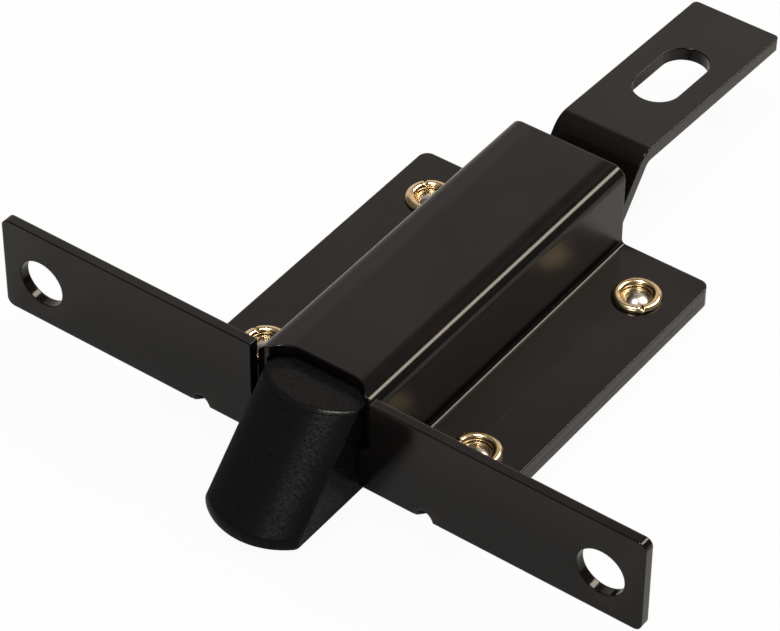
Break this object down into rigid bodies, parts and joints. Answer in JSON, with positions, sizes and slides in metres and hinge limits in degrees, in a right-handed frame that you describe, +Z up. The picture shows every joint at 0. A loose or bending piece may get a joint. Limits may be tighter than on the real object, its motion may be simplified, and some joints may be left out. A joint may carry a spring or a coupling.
{
  "type": "compartment door latch",
  "caption": "Spring-loaded slide latch: a bevelled bolt in a riveted hat-section case on a folded base plate with mounting ears, drawn back by a slotted pull strap.",
  "frame": {"origin": "midway between the two ear holes, on the ears' front face", "axes": "+X along the ears, +Y from the bolt's nose towards the strap's tail, +Z up from the base plate towards the case's top"},
  "size_m": [0.136, 0.1561, 0.024],
  "materials": {
    "black_coat": "smooth semi-gloss black coat on steel sheet",
    "bolt_black": "fine-grained matte black moulding",
    "spring_steel": "drawn spring wire",
    "rivet_steel": "zinc plated",
    "rivet_gold": "bright yellow zinc plating on steel"
  },
  "bodies": {
    "housing": {"base_plate": "black_coat", "case": "black_coat", "return_spring": "spring_steel", "case_rivet_front_left": "rivet_gold", "case_rivet_front_right": "rivet_gold", "case_rivet_rear_left": "rivet_gold", "case_rivet_rear_right": "rivet_gold"},
    "slide": {"bolt": "bolt_black", "pull_strap": "black_coat", "strap_rivet_left": "rivet_steel", "strap_rivet_right": "rivet_steel"}
  },
  "joints": [
    {"name": "bolt_slide", "type": "slide", "parent": "housing", "child": "slide", "axis": [0, 1, 0], "range_m": [0, 0.016], "stiffness_N_per_m": 700, "springref_m": -0.014, "deforming": ["return_spring"]}
  ]
}
